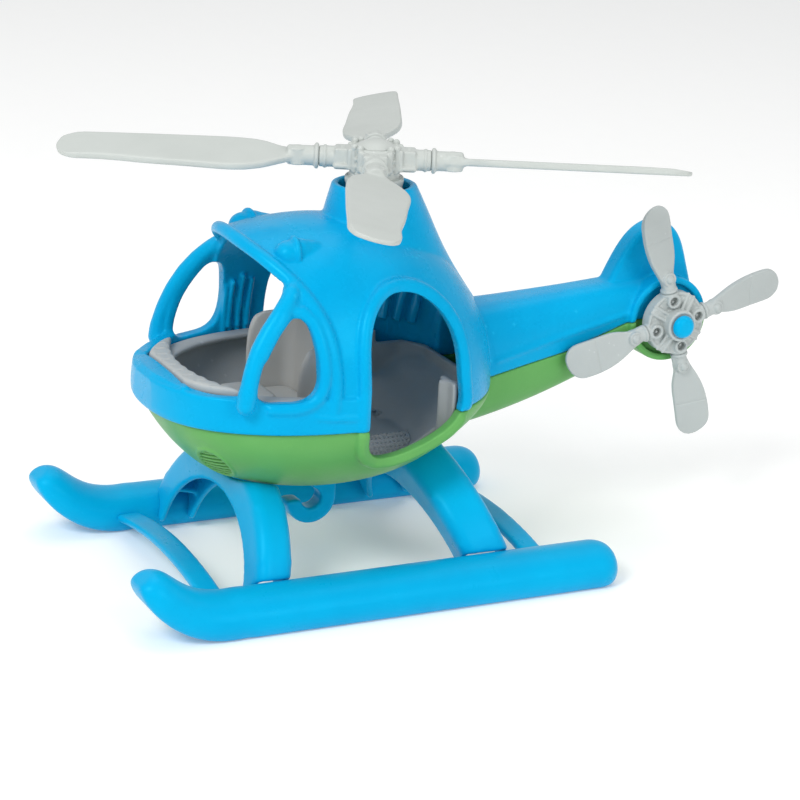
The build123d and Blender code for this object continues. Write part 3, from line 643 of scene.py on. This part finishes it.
panel = Sampled("instrument_panel", 0.3, 8)
panel.soften(0.75)
for k in range(-4, 5):
    across = 6.2 * k
    front = -75.0 + across * across * 0.0098
    notch = rod((across, front - 0.4, 75.9), (across, front + 1.9, 75.9), 0.75)
    panel.cut(*around((across, front, 75.6), 3), notch, 0.2)
finish_piece(panel, "dash_moulding", "airframe", ["instrument_panel"], PANEL)

# ------------------------------------------------------------------ landing gear
for node, sigma in (("left_skid", 0.8), ("right_skid", 0.8), ("front_leg_arch", 0.8), ("rear_leg_arch", 0.8),
                    ("front_strap", 0.7), ("rear_strap", 0.7), ("cargo_hook", 0.7)):
    gear = Sampled(node, 0.6, 6)
    gear.soften(sigma)
    finish_piece(gear, node + "_moulding", "airframe", [node], GEAR_BLUE)


# ------------------------------------------------------------------ rotors
class Spoke:
    """Local axes of one rotor blade: out along the blade, across it, and up through the rotor plane."""

    def __init__(self, origin, out, across, up):
        self.origin, self.out, self.across, self.up = (np.array(v, float) for v in (origin, out, across, up))

    def at(self, r, t, h):
        return self.origin + r * self.out + t * self.across + h * self.up

    def axes(self):
        return self.out, self.across, self.up


def main_spoke(k):
    a = math.radians(ROTOR_PHASE + 90 * k)
    return Spoke((0, 0, ROTOR_Z - LIFT), (math.cos(a), math.sin(a), 0), (-math.sin(a), math.cos(a), 0),
                 (0, 0, 1))


def tail_spoke(k):
    a = math.radians(TAIL_PHASE + 90 * k)
    return Spoke((TAIL_X, TAIL_Y, TAIL_Z - LIFT), (0, math.sin(a), math.cos(a)),
                 (0, -math.cos(a), math.sin(a)), (1, 0, 0))


def blade_tip_plate(spoke, pitch):
    """Rounded plate that fills out both corners of a main rotor blade's tip."""
    turn = math.radians(pitch)
    up = math.cos(turn) * spoke.up - math.sin(turn) * spoke.across
    chord = math.cos(turn) * spoke.across + math.sin(turn) * spoke.up

    def shape(x, y, z):
        d = (x - spoke.origin[0], y - spoke.origin[1], z - spoke.origin[2])
        r, t, h = [d[0] * v[0] + d[1] * v[1] + d[2] * v[2] for v in (spoke.out, chord, up)]
        half = 8.7 - 0.09 * (r - 90.0)
        a = np.abs(r - 98.5) - 7.6
        b = np.abs(t) - half + 3.2
        flat = np.hypot(np.maximum(a, 0), np.maximum(b, 0)) + np.minimum(np.maximum(a, b), 0) - 3.2
        return np.maximum(flat, np.abs(h) - 1.15)
    return shape


def blade_tip_bevel(blade, spoke, reach, face, pitch, slope, length):
    """Planes the upper face down towards the tip, from a straight crease at reach."""
    turn = math.radians(pitch)
    up = math.cos(turn) * spoke.up - math.sin(turn) * spoke.across
    lean = math.radians(slope)
    normal = math.sin(lean) * spoke.out + math.cos(lean) * up
    foot = spoke.origin + reach * spoke.out + face * up

    def above(x, y, z):
        return -((x - foot[0]) * normal[0] + (y - foot[1]) * normal[1] + (z - foot[2]) * normal[2])

    end = spoke.at(reach + length, 0, 0)
    low = np.minimum(foot, end) - 14
    high = np.maximum(foot, end) + 14
    blade.cut(low, high, above, 0.1)


hub = Sampled("main_rotor_hub", 0.3, 8)
hub.fill_creases((-16, -16, 136), (16, 16, 150), 0.9, 0.05)
hub.soften(0.3)
for k in range(4):
    spoke = main_spoke(k)
    box = around(spoke.at(10, 0, 0), 11)
    for t in (-5.2, 5.2):
        hub.add(*box, rod(spoke.at(7.2, t, -3.4), spoke.at(7.2, t, 4.2), 0.95), 0.25)
        hub.add(*box, ball(spoke.at(7.2, t, 4.7), 1.25), 0.2)
        hub.add(*box, rod(spoke.at(4.6, 1.15 * t, -1.9), spoke.at(13.6, 0.72 * t, -2.4), 0.95), 0.4)
    for t in (-1.7, 0.0, 1.7):
        hub.cut(*box, ball(spoke.at(11.6, t, 3.9), 0.62), 0.15)
    hub.add(*around(spoke.at(17.2, 0, 0), 7), hoop(spoke.at(17.4, 0, 0), spoke.out, 3.5, 0.6), 0.25)
hub.add((-11, -11, 143), (11, 11, 150), hoop((0, 0, 147.2), (0, 0, 1), 8.2, 0.75), 0.3)
hub.add((-12, -12, 141), (12, 12, 148), hoop((0, 0, 144.2), (0, 0, 1), 8.8, 0.6), 0.5)
finish_piece(hub, "rotor_hub_moulding", "main_rotor", ["main_rotor_hub"], PALE)
cap = Sampled("main_rotor_cap", 0.3, 8)
cap.soften(0.3)
cap.add((-10, -10, 145), (10, 10, 150), hoop((0, 0, 147.9), (0, 0, 1), 6.9, 0.35), 0.2)
finish_piece(cap, "rotor_cap_moulding", "main_rotor", ["main_rotor_cap"], PALE)
for k in range(4):
    blade = Sampled(f"main_rotor_blade_{k + 1}", 0.35, 8)
    spoke = main_spoke(k)
    blade.fill_creases(*around(spoke.at(28, 0, 0), 13), 1.2, 0.1)
    blade.add(*around(spoke.at(99, 0, 0), 16), blade_tip_plate(spoke, BLADE_PITCH), 0.3)
    blade.soften(0.4)
    blade_tip_bevel(blade, spoke, 101.0, 1.3, BLADE_PITCH, 7.0, 10)
    blade_tip_bevel(blade, spoke, 95.0, 1.3, BLADE_PITCH, 1.4, 16)
    box = around(spoke.at(27, 0, 0), 9)
    for h in (-2.5, 2.5):
        blade.add(*box, hoop(spoke.at(27, 0, h), spoke.up, 3.1, 0.5), 0.2)
        blade.add(*box, ball(spoke.at(27, 0, 0.6 * h), 2.6, (1, 1, 0.8)), 0.2)
    blade.add(*around(spoke.at(20.2, 0, 0), 8), hoop(spoke.at(20.3, 0, 0), spoke.out, 3.9, 0.65), 0.3)
    finish_piece(blade, f"rotor_blade_{k + 1}_moulding", "main_rotor", [f"main_rotor_blade_{k + 1}"], PALE)

tail_hub = Sampled("tail_rotor_hub", 0.25, 8)
tail_hub.soften(0.25)
centre = tail_spoke(0).origin
for k in range(4):
    spoke = tail_spoke(k)
    box = around(spoke.at(9.0, 0, 2), 6)
    tail_hub.add(*box, hoop(spoke.at(9.0, 0, 2.7), spoke.up, 2.15, 0.6), 0.2)
    tail_hub.cut(*box, disc(spoke.at(9.0, 0, 3.4), spoke.up, 1.6, 3.0, 0.1), 0.15)
    tail_hub.add(*box, rod(spoke.at(8.8, 0.2, 0.2), spoke.at(8.8, 0.2, 1.6), 0.6), 0.2)
    half = Spoke(spoke.origin, (spoke.out + spoke.across) / math.sqrt(2),
                 (spoke.across - spoke.out) / math.sqrt(2), spoke.up)
    for t in (-1.3, 1.3):
        rib = rod(half.at(5.6, t, 2.2), half.at(11.4, t, 1.1), 0.7)
        tail_hub.add(*around(half.at(8.6, 0, 2), 7), rib, 0.25)
    tail_hub.add(*around(spoke.at(11.3, 0, 0), 6), hoop(spoke.at(11.5, 0, 0), spoke.out, 2.7, 0.55), 0.2)
tail_hub.add(*around(centre + (3, 0, 0), 15), hoop(centre + (1.0, 0, 0), (1, 0, 0), 11.1, 0.6), 0.3)
tail_hub.add(*around(centre + (5.5, 0, 0), 9), hoop(centre + (5.5, 0, 0), (1, 0, 0), 5.2, 0.65), 0.2)
finish_piece(tail_hub, "tail_hub_moulding", "tail_rotor", ["tail_rotor_hub"], TAIL)
for k in range(4):
    blade = Sampled(f"tail_rotor_blade_{k + 1}", 0.28, 8)
    spoke = tail_spoke(k)
    blade.fill_creases(*around(spoke.at(19, 0, 0), 8), 0.9, 0.05)
    blade.soften(0.32)
    blade_tip_bevel(blade, spoke, 39.5, 1.05, TAIL_PITCH, 5.0, 8)
    tilt = math.radians(TAIL_PITCH)
    up = math.cos(tilt) * spoke.up - math.sin(tilt) * spoke.across
    flat = math.cos(tilt) * spoke.across + math.sin(tilt) * spoke.up
    start = spoke.origin + 33.0 * spoke.out + 1.28 * up
    groove = rod(start - 9 * flat - 0.6 * spoke.out, start + 9 * flat + 0.6 * spoke.out, 0.42)
    blade.cut(*around(start, 10), groove, 0.15)
    box = around(spoke.at(17.6, 0, 2), 7)
    blade.add(*box, hoop(spoke.at(17.6, 0, 2.0), spoke.up, 2.2, 0.45), 0.2)
    blade.add(*box, ball(spoke.at(17.6, 0, 1.8), 1.75), 0.2)
    blade.add(*around(spoke.at(12.8, 0, 0), 6), hoop(spoke.at(13.0, 0, 0), spoke.out, 2.75, 0.5), 0.2)
    finish_piece(blade, f"tail_blade_{k + 1}_moulding", "tail_rotor", [f"tail_rotor_blade_{k + 1}"], TAIL)
axle = Sampled("tail_axle", 0.25, 8)
axle.soften(0.25)
finish_piece(axle, "tail_axle_moulding", "airframe", ["tail_axle"], GEAR_BLUE)


# ------------------------------------------------------------------ stage, light and camera
def stage_floor():
    mesh = bpy.data.meshes.new("floor")
    s = 8.0
    mesh.from_pydata([(-s, -s, 0), (s, -s, 0), (s, s, 0), (-s, s, 0)], [], [(0, 1, 2, 3)])
    floor = bpy.data.objects.new("floor", mesh)
    bpy.context.scene.collection.objects.link(floor)
    material = bpy.data.materials.new("floor_paper")
    material.use_nodes = True
    tree = material.node_tree
    shader = tree.nodes["Principled BSDF"]
    place = tree.nodes.new("ShaderNodeTexCoord").outputs["Object"]
    fibre = noise(tree, place, 60.0, 4.0, 0.6)
    link(tree, blend_colour(tree, fibre, (0.90, 0.90, 0.89), (0.93, 0.93, 0.92)), shader.inputs["Base Color"])
    shader.inputs["Roughness"].default_value = 0.9
    shader.inputs["Specular IOR Level"].default_value = 0.1
    shader.inputs["Emission Color"].default_value = (1, 1, 1, 1)
    shader.inputs["Emission Strength"].default_value = 0.14
    floor.data.materials.append(material)


def softbox(name, position, target, size, power, tint=(1, 1, 1)):
    data = bpy.data.lights.new(name, "AREA")
    data.shape = "RECTANGLE"
    data.size, data.size_y = size
    data.energy = power
    data.color = tint
    lamp = bpy.data.objects.new(name, data)
    lamp.location = position
    lamp.rotation_euler = (Vector(target) - Vector(position)).to_track_quat("-Z", "Y").to_euler()
    bpy.context.scene.collection.objects.link(lamp)


def studio():
    world = bpy.data.worlds.new("studio")
    bpy.context.scene.world = world
    world.use_nodes = True
    background = world.node_tree.nodes["Background"]
    background.inputs["Color"].default_value = (0.98, 0.99, 1.0, 1)
    background.inputs["Strength"].default_value = 0.64
    middle = (0, 0, 0.07)
    softbox("key", (0.55, -0.90, 0.95), middle, (0.42, 0.42), 8.5)
    softbox("top", (-0.2, 0.1, 1.3), middle, (1.0, 1.0), 3.6)
    softbox("side", (1.15, 0.25, 0.60), middle, (0.45, 0.45), 3.2)
    bpy.context.scene.view_settings.view_transform = "Standard"
    bpy.context.scene.view_settings.look = "None"


def viewing_camera():
    """Long lens above the left front of the nose, with a slight roll."""
    right = Vector((0.43540, 0.89890, 0.04890))
    up = Vector((-0.30130, 0.09420, 0.94880))
    back = right.cross(up).normalized()
    right.normalize()
    up = back.cross(right).normalized()
    data = bpy.data.cameras.new("camera")
    data.lens = 117.66
    data.sensor_width = 36.0
    data.clip_start = 0.05
    data.clip_end = 50.0
    camera = bpy.data.objects.new("camera", data)
    turn = Matrix((right, up, back)).transposed().to_4x4()
    camera.matrix_world = Matrix.Translation((0.7965, -0.3873 + AXIS_Y, 0.3468 + LIFT / 1000)) @ turn
    bpy.context.scene.collection.objects.link(camera)
    bpy.context.scene.camera = camera


stage_floor()
studio()
viewing_camera()
